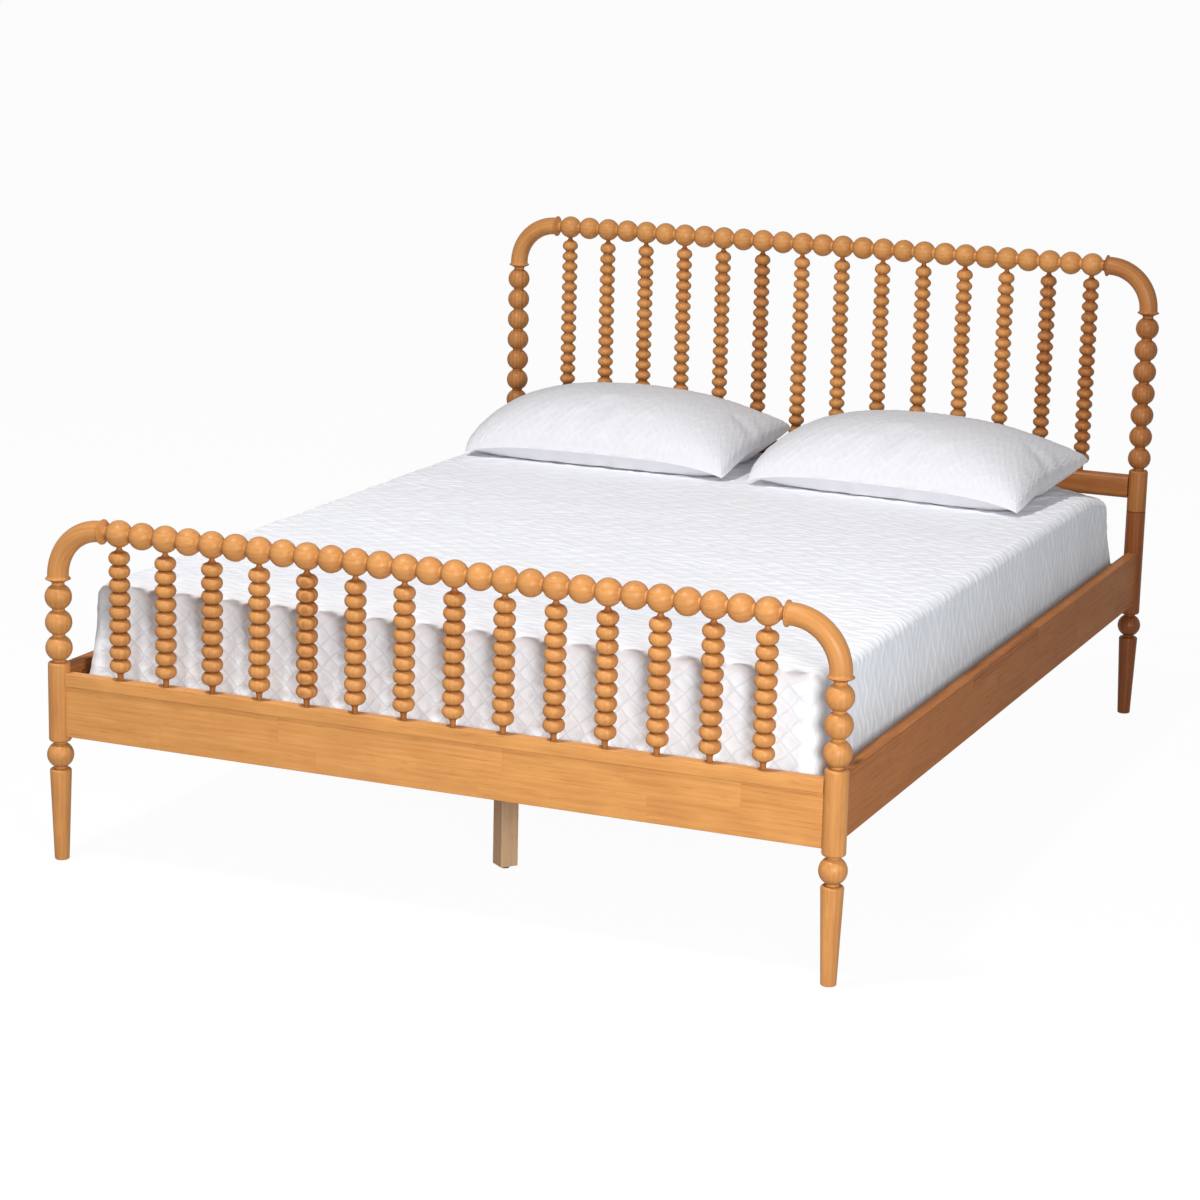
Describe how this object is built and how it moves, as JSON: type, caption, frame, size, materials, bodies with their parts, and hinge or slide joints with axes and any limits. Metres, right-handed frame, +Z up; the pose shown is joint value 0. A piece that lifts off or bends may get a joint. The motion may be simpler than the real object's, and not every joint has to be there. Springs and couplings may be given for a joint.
{
  "type": "platform bed",
  "caption": "Platform bed with bobbin-turned posts, rails and spindles, bent elbow corners, a slatted base, a quilted mattress and pillows.",
  "frame": {"origin": "on the floor, at the centre of the bounding box, midway between the four corner legs", "axes": "+X across the bed to the right as seen from the foot, +Y from the footboard to the headboard, +Z up"},
  "size_m": [1.624, 2.1299, 1.0646],
  "materials": {
    "stained_wood": "satin lacquer over honey stain",
    "bare_wood": "bare, sanded",
    "zinc_steel": "zinc plated",
    "glide_plastic": "matt",
    "mattress_cover": "quilted cotton",
    "pillow_cover": "quilted cotton"
  },
  "bodies": {
    "bed_frame": {"barrel_nuts": "zinc_steel", "bed_bolts": "zinc_steel", "bracket_screws": "zinc_steel", "centre_leg_1": "bare_wood", "centre_leg_2": "bare_wood", "centre_leg_3": "bare_wood", "centre_rail": "bare_wood", "centre_rail_bracket_foot": "zinc_steel", "centre_rail_bracket_head": "zinc_steel", "cleat_screws": "zinc_steel", "dowels": "bare_wood", "foot_cap_rail": "stained_wood", "foot_elbow_left": "stained_wood", "foot_elbow_right": "stained_wood", "foot_panel": "stained_wood", "foot_post_left": "stained_wood", "foot_post_right": "stained_wood", "foot_spindles": "stained_wood", "foot_top_rail": "stained_wood", "head_cross_rail": "stained_wood", "head_elbow_left": "stained_wood", "head_elbow_right": "stained_wood", "head_leg_left": "stained_wood", "head_leg_right": "stained_wood", "head_lower_rail": "stained_wood", "head_post_left": "stained_wood", "head_post_right": "stained_wood", "head_spindles": "stained_wood", "head_top_rail": "stained_wood", "leg_studs": "zinc_steel", "post_studs": "zinc_steel", "side_rail_left": "stained_wood", "side_rail_right": "stained_wood", "slat_01": "bare_wood", "slat_02": "bare_wood", "slat_03": "bare_wood", "slat_04": "bare_wood", "slat_05": "bare_wood", "slat_06": "bare_wood", "slat_07": "bare_wood", "slat_08": "bare_wood", "slat_09": "bare_wood", "slat_10": "bare_wood", "slat_11": "bare_wood", "slat_12": "bare_wood", "slat_13": "bare_wood", "slat_14": "bare_wood", "slat_cleat_left": "bare_wood", "slat_cleat_right": "bare_wood", "slat_screws": "zinc_steel"},
    "mattress": {"mattress": "mattress_cover"},
    "pillow_left": {"pillow_left": "pillow_cover"},
    "pillow_right": {"pillow_right": "pillow_cover"},
    "glide_1": {"glide_1": "glide_plastic"},
    "glide_2": {"glide_2": "glide_plastic"},
    "glide_3": {"glide_3": "glide_plastic"}
  },
  "joints": [
    {"name": "mattress_lift", "type": "slide", "parent": "bed_frame", "child": "mattress", "axis": [0, 0, 1], "range_m": [0, 0.4]},
    {"name": "pillow_left_lift", "type": "slide", "parent": "mattress", "child": "pillow_left", "axis": [0, 0, 1], "range_m": [0, 0.3]},
    {"name": "pillow_right_lift", "type": "slide", "parent": "mattress", "child": "pillow_right", "axis": [0, 0, 1], "range_m": [0, 0.3]},
    {"name": "glide_1_level", "type": "slide", "parent": "bed_frame", "child": "glide_1", "axis": [0, 0, 1], "range_m": [-0.01, 0]},
    {"name": "glide_2_level", "type": "slide", "parent": "bed_frame", "child": "glide_2", "axis": [0, 0, 1], "range_m": [-0.01, 0]},
    {"name": "glide_3_level", "type": "slide", "parent": "bed_frame", "child": "glide_3", "axis": [0, 0, 1], "range_m": [-0.01, 0]}
  ]
}
